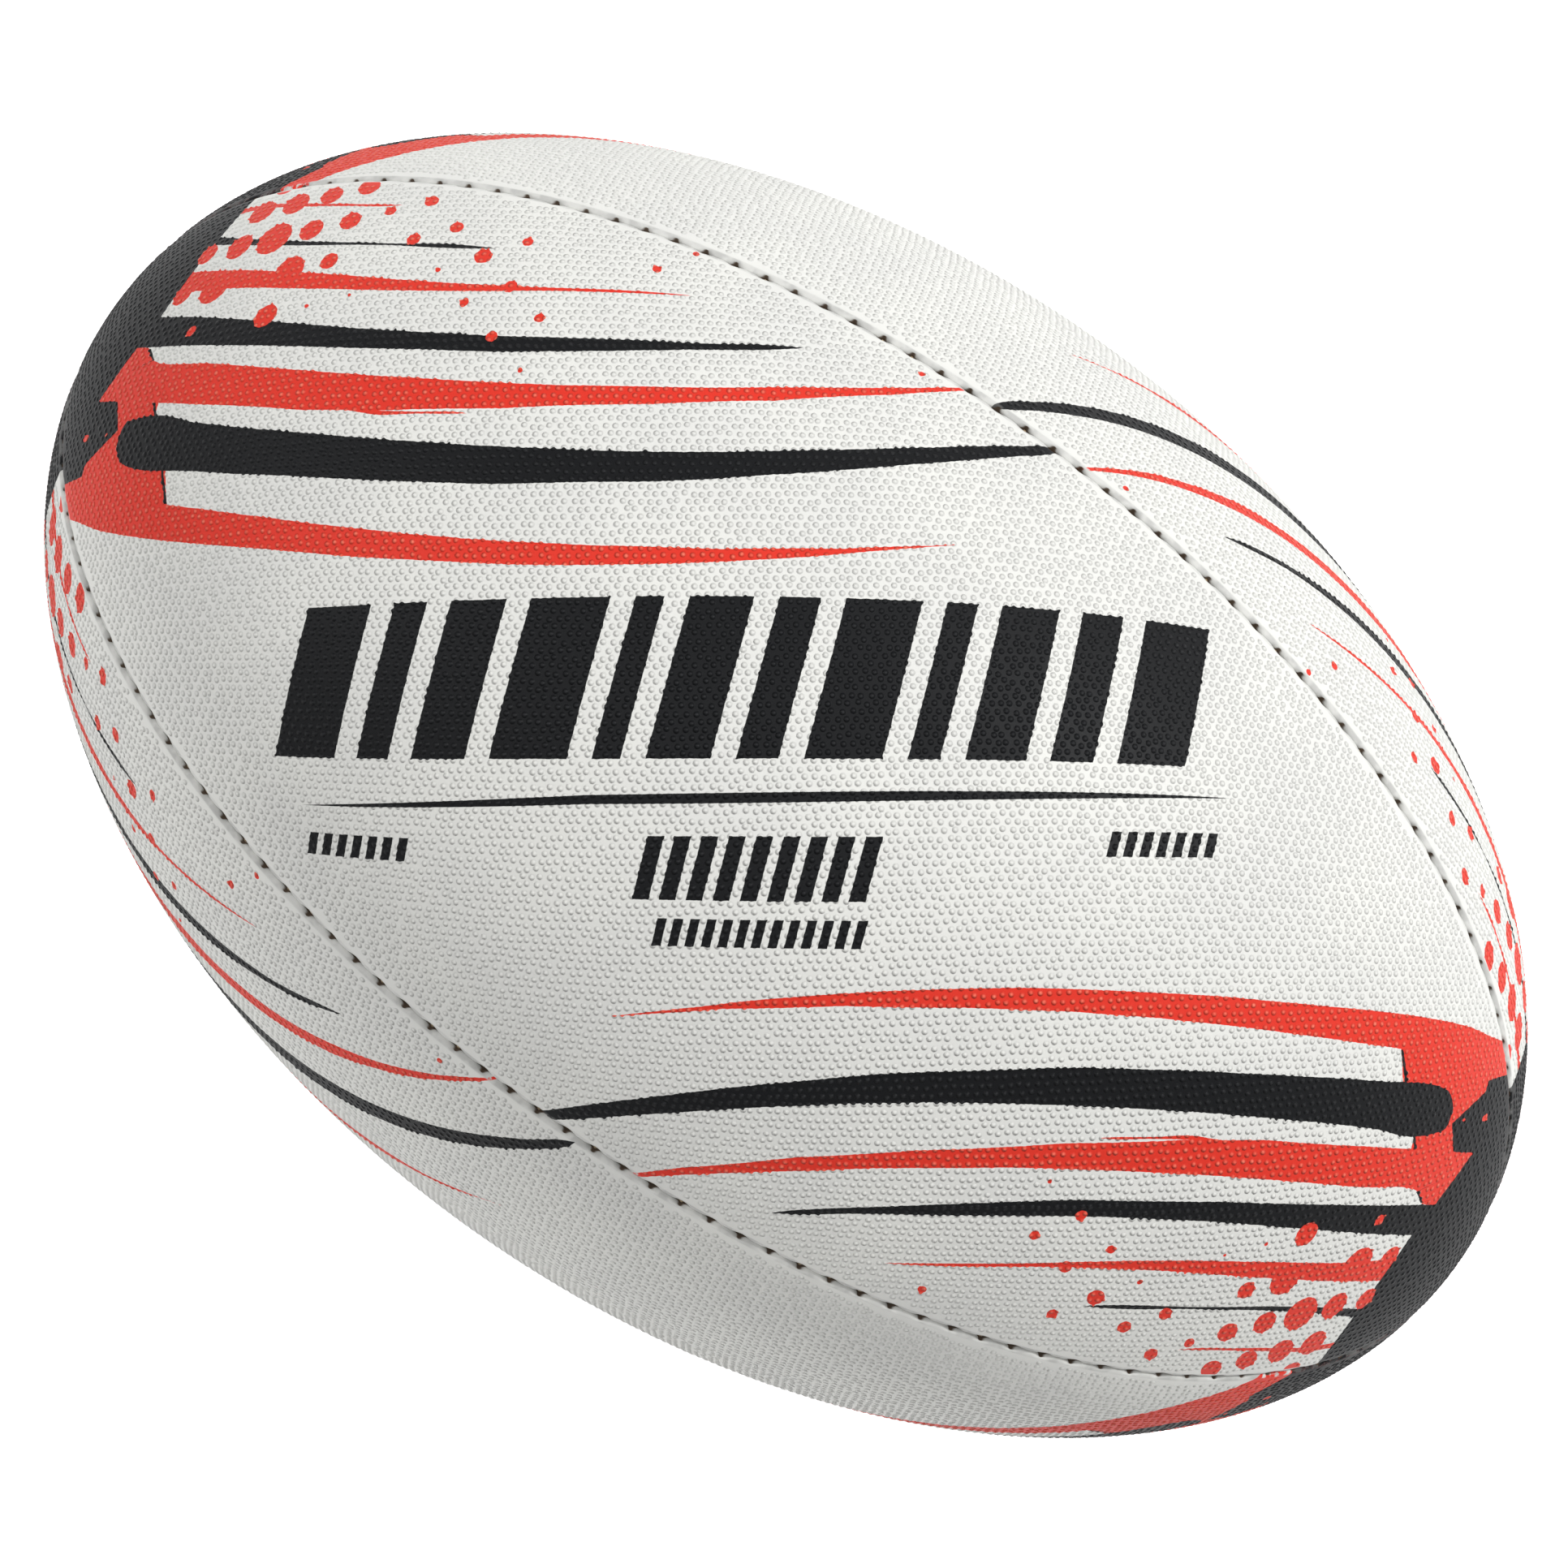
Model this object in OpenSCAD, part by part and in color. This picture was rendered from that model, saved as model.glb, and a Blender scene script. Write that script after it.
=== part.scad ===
// Rugby ball, size 5, lying on its side.
// The long axis is X, +Z is up and the origin is the centre of the ball.
// Four laminated panels (pimpled rubber on three cloth plies) are turned in along
// their edges and sewn through the turned-in flanges. A bladder with a
// self-sealing needle valve fills the inside.

/* [Ball] */
// Length of the ball from tip to tip
ball_length = 288; // [280:1:300]
// Diameter of the ball at its waist
ball_waist = 190; // [185:1:197]
// Steps of the oval outline from tip to tip
outline_steps = 48; // [36:6:90]

/* [Panels] */
// Thickness of the rubber sheet, over the tops of its pimples
rubber_t = 1.2; // [1:0.1:1.5]
// Thickness of one cloth ply
ply_t = 0.35; // [0.3:0.05:0.4]
// Adhesive line between two layers of a panel
glue_t = 0.05; // [0.03:0.01:0.08]
// Gap between two panels along a seam
seam_gap = 0.1; // [0.06:0.02:0.2]
// Width of the step along each panel edge that makes the seam groove
groove_w = 1; // [0.6:0.1:1.4]
// Depth of the seam groove
groove_depth = 0.7; // [0.5:0.1:0.8]
// How deep the turned-in flange reaches below the surface
flange_depth = 6.5; // [6:0.5:7]
// Radius of the opening where the four panel tips meet
tip_gap = 0.5; // [0.4:0.1:0.8]

/* [Stitching] */
// Distance between stitches along a seam
stitch_pitch = 5.3; // [5:0.1:6]
// Stitches on each side of the middle one
stitches_per_half = 33; // [20:1:33]
// Depth of the stitch line below the surface
stitch_depth = 4.2; // [4:0.1:4.4]
// Diameter of the waxed thread
thread_d = 0.8; // [0.6:0.1:0.9]
// Diameter of the needle holes in the flanges
needle_hole_d = 1; // [1:0.1:1.2]

/* [Bladder] */
// Gap between the cloth lining and the bladder
bladder_gap = 1.25; // [1.2:0.05:1.4]
// Wall thickness of the bladder
bladder_t = 0.8; // [0.6:0.1:1]

/* [Valve] */
// Angle of the valve round the long axis, from the top towards the front
valve_turn = 112; // [105:1:120]
// Diameter of the valve hole through the cover
valve_hole_d = 7.2; // [7:0.1:8]
// Diameter of the valve stem in that hole
stem_d = 6.6; // [6:0.1:6.8]
// Diameter of the channel that takes the inflation needle
needle_bore_d = 2.5; // [2.3:0.1:2.6]
// Depth of the needle channel
needle_bore_l = 12; // [10:0.5:12]
// Diameter of the self-sealing plug
plug_d = 4.1; // [4:0.1:4.3]

/* [Hidden] */

a = ball_length / 2;
b = ball_waist / 2;
reach = ball_length;            // longer than anything inside the ball
overcut = 1;                    // how far a cut runs past the face it opens
panel_turn = 90;                // one panel to the next, round the long axis
// Turns that bring the panel from the top to each side
top = 0;
front = panel_turn;
bottom = 2 * panel_turn;
back = 3 * panel_turn;

// Depth of each cloth ply below the outer surface
first_ply = rubber_t + glue_t;
ply_pitch = ply_t + glue_t;
function ply_depth(k) = first_ply + k * ply_pitch;
ply_outer = 0;
ply_middle = 1;
ply_inner = 2;
lining_bottom = ply_depth(ply_inner) + ply_t;

// Flanges stand beside the seam plane in the same order as the layers
flange_stack = seam_gap / 2 + lining_bottom;
thread_clear = 0.05;            // between the thread and the inner ply
thread_lane = flange_stack + thread_clear + thread_d;

// Bladder
bladder_depth = lining_bottom + bladder_gap;
fin_clear = 0.35;               // between the sewn fin and the bladder
fin_w = 2 * (thread_lane + fin_clear);
fin_depth = flange_depth + fin_clear;

// Valve, measured along its own axis from the centre of the ball
patch_t = 0.5;
patch_clear = 0.08;
lining_patch_d = 30;
bladder_patch_d = 25;
stem_recess = 0.5;
stem_top = b - stem_recess;
plug_recess = 0.3;
plug_top = stem_top - plug_recess;
plug_floor = 1.6;               // closed lips below the needle channel
plug_l = needle_bore_l + plug_floor;
plug_clear = 0.03;
collar_d = 16;
collar_t = 1.4;
collar_top = b - bladder_depth - bladder_t - 0.5;
body_d = 8.4;
body_bottom = plug_top - plug_l - 2.4;
air_hole_d = 1.6;
air_hole_l = 5;
stem_clear = 0.15;
wall_cut = 30;                  // length of the cut for the valve hole

rubber_white = [0.88, 0.88, 0.86];
cloth = [0.86, 0.84, 0.78];
waxed_thread = [0.78, 0.72, 0.60];
butyl = [0.10, 0.10, 0.11];
valve_rubber = [0.16, 0.16, 0.17];

// Point of the oval at angle t from the tip, d below the surface: [radius, along]
function oval(d, t) = [(b - d) * sin(t), (a - d) * cos(t)];
// Angle from the tip at which the oval is r away from the long axis
function tip_angle(d, r) = asin(r / (b - d));
function outline(d, t0) = concat(
    [oval(d, t0)],
    [for (i = [1 : outline_steps - 1]) let (t = i * 180 / outline_steps)
        if (t > t0 && t < 180 - t0) oval(d, t)],
    [oval(d, 180 - t0)]
);
function reversed(list) = [for (i = [len(list) - 1 : -1 : 0]) list[i]];

// Angles of the stitches from the middle of a seam towards one tip
function stitch_step(t) = let (p = a - stitch_depth, q = b - stitch_depth)
    stitch_pitch / norm([p * sin(t), q * cos(t)]) * 180 / PI;
function next_stitch(t) = t - stitch_step(t - stitch_step(t) / 2);
function march(t, n) = n == 0 ? [t] : concat([t], march(next_stitch(t), n - 1));
half_seam = march(90, stitches_per_half);
stitch_angles = concat(half_seam, [for (i = [1 : stitches_per_half]) 180 - half_seam[i]]);
last_stitch = half_seam[stitches_per_half];

// ---- building blocks: the long axis is Z, the panel is centred on +X ----

// Everything on the panel's side of two planes that lie off beside its seams
module between_seams(off) {
    apex = off * sqrt(2);
    linear_extrude(2 * reach, center = true)
        polygon([[apex, 0], [reach, reach - apex], [reach, apex - reach]]);
}

// Curved layer from depth d0 to depth d1, trimmed to off beside each seam
module layer(d0, d1, off) {
    sweep = 100;
    intersection() {
        rotate([0, 0, -sweep / 2]) rotate_extrude(angle = sweep)
            polygon(concat(
                outline(d0, tip_angle(d0, tip_gap)),
                reversed(outline(d1, tip_angle(d1, tip_gap)))));
        between_seams(off);
    }
}

// Row of needle holes through the flanges of the seam at +45 degrees
module needle_holes() {
    rotate([0, 0, panel_turn / 2]) rotate([90, 0, 0]) for (s = stitch_angles)
        translate(oval(stitch_depth, s))
            cylinder(d = needle_hole_d, h = 2 * thread_lane, center = true, $fn = 24);
}

// Takes the hollow out of a panel layer, which leaves its sheet and its two flanges
module hollow_and_holes(d, t, off) {
    layer(d + t, flange_depth + overcut, off + t);
    needle_holes();
    mirror([0, 1, 0]) needle_holes();
}

// Brings a piece from the building frame to its side of the ball
module place(turn) rotate([turn, 0, 0]) rotate([0, -90, 0]) children();

// Stands its children on the valve's axis, pointing outwards
module on_valve() rotate([valve_turn, 0, 0]) children();

// Hole through the wall of the ball at the valve
module valve_opening(d) on_valve()
    translate([0, 0, b - wall_cut / 2]) cylinder(d = d, h = wall_cut, $fn = 64);

// ---- the pieces ----

module rubber_panel(turn) {
    off = seam_gap / 2;
    color(rubber_white) place(turn) difference() {
        union() {
            layer(0, groove_depth, off + groove_w);
            layer(groove_depth, flange_depth, off);
        }
        hollow_and_holes(0, rubber_t, off);
    }
}

module ply(turn, k) {
    d = ply_depth(k);
    off = seam_gap / 2 + d;
    color(cloth) place(turn) difference() {
        layer(d, flange_depth, off);
        hollow_and_holes(d, ply_t, off);
    }
}

module panel_top() rubber_panel(top);
module panel_front() difference() {
    rubber_panel(front);
    valve_opening(valve_hole_d);
}
module panel_bottom() rubber_panel(bottom);
module panel_back() rubber_panel(back);

module lining_outer_top() ply(top, ply_outer);
module lining_outer_front() difference() {
    ply(front, ply_outer);
    valve_opening(valve_hole_d);
}
module lining_outer_bottom() ply(bottom, ply_outer);
module lining_outer_back() ply(back, ply_outer);

module lining_middle_top() ply(top, ply_middle);
module lining_middle_front() difference() {
    ply(front, ply_middle);
    valve_opening(valve_hole_d);
}
module lining_middle_bottom() ply(bottom, ply_middle);
module lining_middle_back() ply(back, ply_middle);

module lining_inner_top() ply(top, ply_inner);
module lining_inner_front() difference() {
    ply(front, ply_inner);
    valve_opening(valve_hole_d);
}
module lining_inner_bottom() ply(bottom, ply_inner);
module lining_inner_back() ply(back, ply_inner);

// Saddle stitch: one lane of thread down each side of the fin, joined through the holes.
// A panel's turn gives the seam on its far side.
module thread_lane_strip() {
    end_speed = norm([a * sin(last_stitch), b * cos(last_stitch)]);
    strip_end = last_stitch - thread_d / 2 / end_speed * 180 / PI;
    polygon(concat(
        outline(stitch_depth - thread_d / 2, strip_end),
        reversed(outline(stitch_depth + thread_d / 2, strip_end))));
}

module seam_thread(turn) {
    lane = thread_lane - thread_d;
    color(waxed_thread) place(turn) rotate([0, 0, panel_turn / 2]) rotate([90, 0, 0]) union() {
        translate([0, 0, lane]) linear_extrude(thread_d) thread_lane_strip();
        translate([0, 0, -lane - thread_d]) linear_extrude(thread_d) thread_lane_strip();
        for (s = stitch_angles) translate(oval(stitch_depth, s))
            cylinder(d = thread_d, h = 2 * lane + thread_d, center = true, $fn = 24);
    }
}

module seam_thread_top_front() seam_thread(front);
module seam_thread_front_bottom() seam_thread(bottom);
module seam_thread_bottom_back() seam_thread(back);
module seam_thread_back_top() seam_thread(top);

// Solid oval, slotted along the four seams so that it clears the sewn fins
module slotted_oval(d, slot_w, slot_depth) {
    rotate([0, -90, 0]) difference() {
        rotate_extrude() polygon(outline(d, 0));
        for (turn = [panel_turn / 2, -panel_turn / 2]) rotate([0, 0, turn]) rotate([90, 0, 0])
            linear_extrude(slot_w, center = true) difference() {
                square(2 * reach, center = true);
                polygon(concat(
                    outline(slot_depth, 0),
                    [for (p = reversed(outline(slot_depth, 0))) [-p[0], p[1]]]));
            }
    }
}

module bladder() color(butyl) difference() {
    slotted_oval(bladder_depth, fin_w, fin_depth);
    slotted_oval(bladder_depth + bladder_t, fin_w + 2 * bladder_t, fin_depth + bladder_t);
    valve_opening(stem_d + 2 * stem_clear);
}

// Round patch that follows the oval between two depths
module curved_patch(d0, d1, patch_d, hole_d) {
    intersection() {
        rotate([0, -90, 0]) rotate_extrude()
            polygon(concat(
                outline(d0, tip_angle(d0, tip_gap)),
                reversed(outline(d1, tip_angle(d1, tip_gap)))));
        on_valve() difference() {
            cylinder(d = patch_d, h = reach, $fn = 96);
            cylinder(d = hole_d, h = 3 * reach, center = true, $fn = 64);
        }
    }
}

module lining_valve_patch() {
    start = lining_bottom + patch_clear;
    color(cloth) curved_patch(start, start + patch_t, lining_patch_d, valve_hole_d);
}

module bladder_valve_patch() {
    start = bladder_depth - glue_t - patch_t;
    color(butyl) curved_patch(start, start + patch_t, bladder_patch_d, stem_d + 2 * stem_clear);
}

module valve_housing() color(valve_rubber) on_valve() difference() {
    collar_middle = collar_top - collar_t / 2;
    union() {
        translate([0, 0, collar_middle])
            cylinder(d = stem_d, h = stem_top - collar_middle, $fn = 64);
        translate([0, 0, collar_top - collar_t])
            cylinder(d = collar_d, h = collar_t, $fn = 96);
        translate([0, 0, body_bottom])
            cylinder(d = body_d, h = collar_middle - body_bottom, $fn = 64);
    }
    translate([0, 0, plug_top - plug_l - plug_clear])
        cylinder(d = plug_d + 2 * plug_clear, h = plug_l + wall_cut, $fn = 64);
    translate([0, 0, body_bottom - overcut])
        cylinder(d = air_hole_d, h = air_hole_l + overcut, $fn = 32);
}

module valve_plug() color(valve_rubber) on_valve() difference() {
    translate([0, 0, plug_top - plug_l]) cylinder(d = plug_d, h = plug_l, $fn = 64);
    translate([0, 0, plug_top - needle_bore_l])
        cylinder(d = needle_bore_d, h = needle_bore_l + overcut, $fn = 64);
}

panel_top();
panel_front();
panel_bottom();
panel_back();
lining_outer_top();
lining_outer_front();
lining_outer_bottom();
lining_outer_back();
lining_middle_top();
lining_middle_front();
lining_middle_bottom();
lining_middle_back();
lining_inner_top();
lining_inner_front();
lining_inner_bottom();
lining_inner_back();
seam_thread_top_front();
seam_thread_front_bottom();
seam_thread_bottom_back();
seam_thread_back_top();
lining_valve_patch();
bladder();
bladder_valve_patch();
valve_housing();
valve_plug();
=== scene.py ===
import math

import bpy
import numpy as np
from mathutils import Matrix, Vector
from mathutils.geometry import delaunay_2d_cdt


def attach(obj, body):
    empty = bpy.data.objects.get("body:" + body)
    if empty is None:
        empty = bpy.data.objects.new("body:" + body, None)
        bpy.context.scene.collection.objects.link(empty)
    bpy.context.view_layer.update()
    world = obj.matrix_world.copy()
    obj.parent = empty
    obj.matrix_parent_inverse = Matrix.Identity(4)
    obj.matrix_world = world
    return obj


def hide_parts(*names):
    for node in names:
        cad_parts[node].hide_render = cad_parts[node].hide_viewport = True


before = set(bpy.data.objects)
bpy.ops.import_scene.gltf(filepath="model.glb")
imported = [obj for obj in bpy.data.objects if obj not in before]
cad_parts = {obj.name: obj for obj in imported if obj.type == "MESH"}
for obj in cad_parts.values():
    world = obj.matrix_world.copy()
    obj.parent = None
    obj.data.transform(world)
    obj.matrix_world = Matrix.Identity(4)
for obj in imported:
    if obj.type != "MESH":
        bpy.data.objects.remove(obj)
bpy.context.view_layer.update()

# Lengths are in millimetres, and in metres for what is given to Blender
MM = 0.001

# ---- the ball ----
HALF_LENGTH, HALF_WAIST = 144.0, 95.0
QUARTER = math.pi / 4  # a seam lies this far round from the middle of a panel
TURNS = {"top": 0.0, "front": -math.pi / 2, "bottom": math.pi, "back": math.pi / 2}
SEAMS = {"top_front": -45, "front_bottom": -135, "bottom_back": 135, "back_top": 45}
RUBBER = 1.2  # thickness of a cover panel
FLANGE_DEPTH = 6.5  # how deep the turned-in edges reach
SEAM_GAP = 0.05  # from a turned-in edge to the seam plane
TIP_GAP = 0.5  # radius of the opening where the four tips meet
EDGE_BAND = 1.25  # where the pimpled sheet starts to roll into the seam
STITCH_DEPTH = 4.2
STITCH_PITCH = 5.3
STITCHES_PER_HALF = 33
STATIONS_PER_STITCH = 6  # rows of vertices across the edge, to each stitch
STITCH_FADE = 0.68  # how much of a stitch's pull is lost from one row to the next
VALVE_TURN = math.radians(112)
VALVE_AXIS = Vector((0, -math.sin(VALVE_TURN), math.cos(VALVE_TURN)))
VALVE_HOLE = 3.6  # radius
PRINT_TURN = math.radians(35.56)  # the print runs this far round from the long axis

# ---- pimples ----
PITCH = 1.47
JITTER, JITTER_LIMIT = 0.085 * PITCH, 0.26
RELIEF = 0.2  # depth of the sheet between them
TOP_DEPTH, TOP_SPREAD = 0.02, 0.04
DOME_RADIUS = 0.52
SLOPE = 4.0  # steepness of a dome's sides
FAR = 9.0  # an offset that is away from every pimple, dot or bar
LATTICE_LONG, LATTICE_WIDE = 175, 130  # half its size, enough for any panel
SHEET_END = 188.6  # the sheet has no vertex further along the oval than this
VERTEX_ROOM, PIMPLE_ROOM = 0.42, 0.75  # least distance to the edge of the sheet

# Steps of the angle round the oval, from its -X tip to its +X tip
ANGLE = np.linspace(0, math.pi, 8001)


def arc(depth):
    """Distance along the oval from its middle, at each step of ANGLE."""
    speed = np.hypot((HALF_LENGTH - depth) * np.sin(ANGLE), (HALF_WAIST - depth) * np.cos(ANGLE))
    run = np.concatenate([[0], np.cumsum((speed[1:] + speed[:-1]) / 2 * np.diff(ANGLE))])
    return run - run[-1] / 2


SURFACE_ARC = arc(0)
STITCH_ARC = arc(STITCH_DEPTH)
TIP_ANGLE = math.asin(TIP_GAP / HALF_WAIST)


def radius_at(angle, depth=0.0):
    return (HALF_WAIST - depth) * np.sin(angle)


def place(angle, phi, depth, turn):
    r = radius_at(angle, depth)
    x = -(HALF_LENGTH - depth) * np.cos(angle)
    return np.stack([x, r * np.sin(phi + turn), r * np.cos(phi + turn)], -1)


def length(vectors):
    return np.linalg.norm(vectors, axis=-1)


def outward(points):
    n = points / np.array([HALF_LENGTH**2, HALF_WAIST**2, HALF_WAIST**2])
    return n / np.linalg.norm(n, axis=-1, keepdims=True)


# Near the tips the edge band narrows to the first share of the radius. No offset is more than
# the second, which is just short of the middle of the panel.
BAND_SHARE, WIDEST_SHARE = 0.64, 0.69


def beside_seam(angle, offset, depth):
    """Angle round from the middle of the panel to a point that is offset from the seam plane."""
    r = radius_at(angle, depth)
    squeeze = np.minimum(1, BAND_SHARE * r / EDGE_BAND)
    return QUARTER - np.arcsin(np.minimum(offset * squeeze, WIDEST_SHARE * r) / r)


def stations(per_stitch):
    """Angles along a seam, with per_stitch of them to each stitch, and how near each is to one."""
    step = STITCH_PITCH / per_stitch
    end = abs(np.interp(TIP_ANGLE, ANGLE, STITCH_ARC))
    count = int((end - step / 2) / step)
    k = np.arange(-count, count + 1)
    run = np.concatenate([[-end], k * step, [end]])
    near = np.zeros(len(run))
    for i, index in enumerate(k):
        stitch = round(index / per_stitch)
        if abs(stitch) <= STITCHES_PER_HALF:
            near[i + 1] = max(0.0, 1 - STITCH_FADE * abs(index - stitch * per_stitch))
    return np.interp(run, STITCH_ARC, ANGLE), near


def ease(share):
    """Smooth step from 0 to 1."""
    t = np.clip(share, 0, 1)
    return t * t * (3 - 2 * t)


# ---- meshes ----
def add_object(name, data):
    obj = bpy.data.objects.new(name, data)
    bpy.context.scene.collection.objects.link(obj)
    return obj


def make_piece(name, vertices, faces):
    """faces is a list of 2-D index arrays, each of faces with the same number of corners."""
    mesh = bpy.data.meshes.new(name)
    loops = np.concatenate([f.ravel() for f in faces]).astype(np.int32)
    totals = np.concatenate([np.full(len(f), f.shape[1]) for f in faces])
    starts = np.concatenate([[0], np.cumsum(totals)[:-1]]).astype(np.int32)
    mesh.vertices.add(len(vertices))
    mesh.vertices.foreach_set("co", (np.asarray(vertices) * MM).astype(np.float32).ravel())
    mesh.loops.add(len(loops))
    mesh.loops.foreach_set("vertex_index", loops)
    mesh.polygons.add(len(totals))
    mesh.polygons.foreach_set("loop_start", starts)
    mesh.polygons.foreach_set("use_smooth", np.ones(len(totals), bool))
    mesh.update(calc_edges=True)
    obj = add_object(name, mesh)
    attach(obj, "root")
    return obj


def set_attribute(obj, name, domain, values):
    """values is a row of numbers, or rows of two or three."""
    if values.shape[-1] == 2 and values.ndim == 2:
        values = np.pad(values, ((0, 0), (0, 1)))
    kind = "FLOAT" if values.ndim == 1 else "FLOAT_VECTOR"
    data = obj.data.attributes.new(name, kind, domain).data
    data.foreach_set("value" if values.ndim == 1 else "vector", values.astype(np.float32).ravel())


def bridge(rows, closed=False):
    """Quads between each row of vertex numbers and the next. closed joins the ends of the rows."""
    rows = np.array(rows)
    if closed:
        rows = np.concatenate([rows, rows[:, :1]], 1)
    first, second = rows[:-1], rows[1:]
    return np.stack([first[:, :-1], first[:, 1:], second[:, 1:], second[:, :-1]], -1).reshape(-1, 4)


def circle_angles(count):
    return np.arange(count) * 2 * math.pi / count


WHOLE_HULL, CLOSEST = 0, 1e-6  # what the triangulation fills, and the least distance of points
LEAST_AREA = 1e-7  # twice the area of the smallest triangle that is kept
RING_SHARE = 0.98  # a triangle with its middle inside this share of a ring is left out


def fill(right, inside, ring):
    """Triangles over a flattened sheet between its edge and the mirrored edge, round the ring."""
    points = np.concatenate([right, right * [1, -1], ring, inside])
    n, m = len(right), len(ring)
    edges = [(i, i + 1) for i in range(n - 1)] + [(n + i, n + i + 1) for i in range(n - 1)]
    edges += [(0, n), (n - 1, 2 * n - 1)]
    edges += [(2 * n + i, 2 * n + (i + 1) % m) for i in range(m)]
    made = delaunay_2d_cdt([Vector(p) for p in points], edges, [], WHOLE_HULL, CLOSEST, False)
    if len(made[0]) != len(points):
        raise RuntimeError("two points of the panel meet")
    triangles = np.array(made[2])
    corner = points[triangles]
    middle = corner.mean(1)
    cross = np.cross(corner[:, 1] - corner[:, 0], corner[:, 2] - corner[:, 0])
    half = np.interp(middle[:, 0], right[:, 0], right[:, 1])
    keep = (np.abs(middle[:, 1]) < half) & (np.abs(cross) > LEAST_AREA)
    if m:
        reach = np.linalg.norm(ring[0] - ring.mean(0)) * RING_SHARE
        keep &= length(middle - ring.mean(0)) > reach
    triangles[cross < 0] = triangles[cross < 0][:, ::-1]
    return triangles[keep]


def flat(angle, phi):
    """The panel rolled out: distance along the oval, and distance round from its middle line."""
    return np.stack([np.interp(angle, ANGLE, SURFACE_ARC), radius_at(angle) * phi], -1)


def unflat(points):
    angle = np.interp(points[:, 0], SURFACE_ARC, ANGLE)
    return angle, points[:, 1] / radius_at(angle)


def rotate(points, turn):
    c, s = math.cos(turn), math.sin(turn)
    u, v = points[..., 0], points[..., 1]
    return np.stack([u * c - v * s, u * s + v * c], -1)


def to_print(points):
    """The flattened panel's coordinates in the directions of the print."""
    return rotate(points, -PRINT_TURN)


# On two panels one half of the print is not quite in its place. For it: 1 if it is the half
# above the middle and -1 if below, its slip outward, how this grows along the print, across it
# and over both together, and its slip along
PRINT_SLIP = {"top": (-1, 4.6, 2.75, -0.5, 1.0, 0.06), "front": (1, -1.35, -1.3, 0, 0, 0)}
SLIP_MIDDLE, SLIP_ALONG, SLIP_ACROSS = 54, 100, 30  # lengths that the growth is measured in
SLIP_FROM, SLIP_FULL = 12, 32  # no slip in the middle of the panel
SLIDE_FROM, SLIDE_FULL = -110, -60  # no slip along at the tip
SLIDE_REACH = 60


def slipped(printed, side):
    """Print coordinates with the slip of the panel's print taken off."""
    half, out, along, across, twist, slide = PRINT_SLIP.get(side, (1, 0, 0, 0, 0, 0))
    u, v = printed[..., 0] * half, printed[..., 1] * half
    p, q = u / SLIP_ALONG, (v - SLIP_MIDDLE) / SLIP_ACROSS
    share = ease((v - SLIP_FROM) / (SLIP_FULL - SLIP_FROM))
    fade = np.clip((u - SLIDE_FROM) / (SLIDE_FULL - SLIDE_FROM), 0, 1)
    moved_u = u + share * fade * slide * np.clip(v - SLIP_MIDDLE, 0, SLIDE_REACH)
    moved_v = v - share * (out + along * p + across * q + twist * p * q)
    return np.stack([moved_u, moved_v], -1) * half


# Fine enough that the flat triangles of two layers stay apart across the 0.05 mm glue line
FINE_GRID = (np.arange(-180, 180.1, 3.0), np.arange(-75, 75.1, 3.0))
GRID_JITTER = 0.2
GRID_ROOM = 1.2  # least distance from the grid to the edge of its sheet
GRID_HOLE = 5  # the grid starts this much and the room outside the valve's middle


def valve_ring(radius, count=56):
    """A circle round the valve in the flattened front panel."""
    turn = circle_angles(count)
    middle = HALF_WAIST * (VALVE_TURN - math.pi / 2)
    return np.stack([radius * np.cos(turn), -middle + radius * np.sin(turn)], -1)


def hidden_grid(rng, edge, ring):
    """Points over a sheet that is not seen, clear of its edge and of the valve hole."""
    grid = np.stack(np.meshgrid(*FINE_GRID), -1).reshape(-1, 2)
    grid += rng.uniform(-GRID_JITTER, GRID_JITTER, grid.shape)
    room = np.interp(grid[:, 0], edge[:, 0], edge[:, 1]) - np.abs(grid[:, 1])
    if len(ring):
        room = np.minimum(room, length(grid - ring.mean(0)) - GRID_HOLE)
    return grid[room > GRID_ROOM]


# ---- the rubber panels ----
# Rolled edge and flange: offset from the seam plane, depth, how far a stitch opens it,
# how far a stitch pulls it down, how grey it is, and how dark a stitch makes it. The grey and
# the dark are painted shade into the seam and round each stitch hole, partly brown dirt deep down
EDGE_ROWS = (
    (1.25, 0.2, 0.0, 0.0, 0.03, 0.0), (1.04, 0.21, 0.0, 0.03, 0.1, 0.0),
    (0.82, 0.25, 0.06, 0.08, 0.14, 0.05), (0.58, 0.32, 0.3, 0.16, 0.17, 0.45),
    (0.34, 0.42, 0.62, 0.24, 0.2, 0.9), (0.14, 0.58, 0.88, 0.25, 0.24, 1.0),
    (0.03, 0.8, 0.97, 0.3, 0.45, 1.0), (0.02, 1.3, 0.97, 0.1, 1.0, 1.0),
    (0.02, 2.0, 0.9, 0.0, 1.0, 1.0), (0.02, 3.1, 0.55, 0.0, 1.0, 1.0),
    (0.05, 4.6, 0.0, 0.0, 1.0, 1.0), (0.05, 6.5, 0.0, 0.0, 1.0, 1.0),
)
# The inner side of the edge: offset and depth
INNER_ROWS = ((1.25, FLANGE_DEPTH), (1.25, 1.6), (1.55, RUBBER))
# Size of the stitch holes against the rows, and the seed that both panels at a seam use for it
HOLE_SIZES, HOLE_SEED = (0.75, 1.15), 7
# Rim of the valve hole: radius, depth, how grey it is (painted shade towards the hole)
VALVE_RIM = ((4.4, RELIEF, 0.2), (4.0, 0.22, 0.5), (3.72, 0.34, 0.5), (VALVE_HOLE, 0.6, 0.5),
             (VALVE_HOLE, RUBBER, 0.5))
MARKED = ("top", "bottom")  # the other two panels have no marks in their middle

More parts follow.
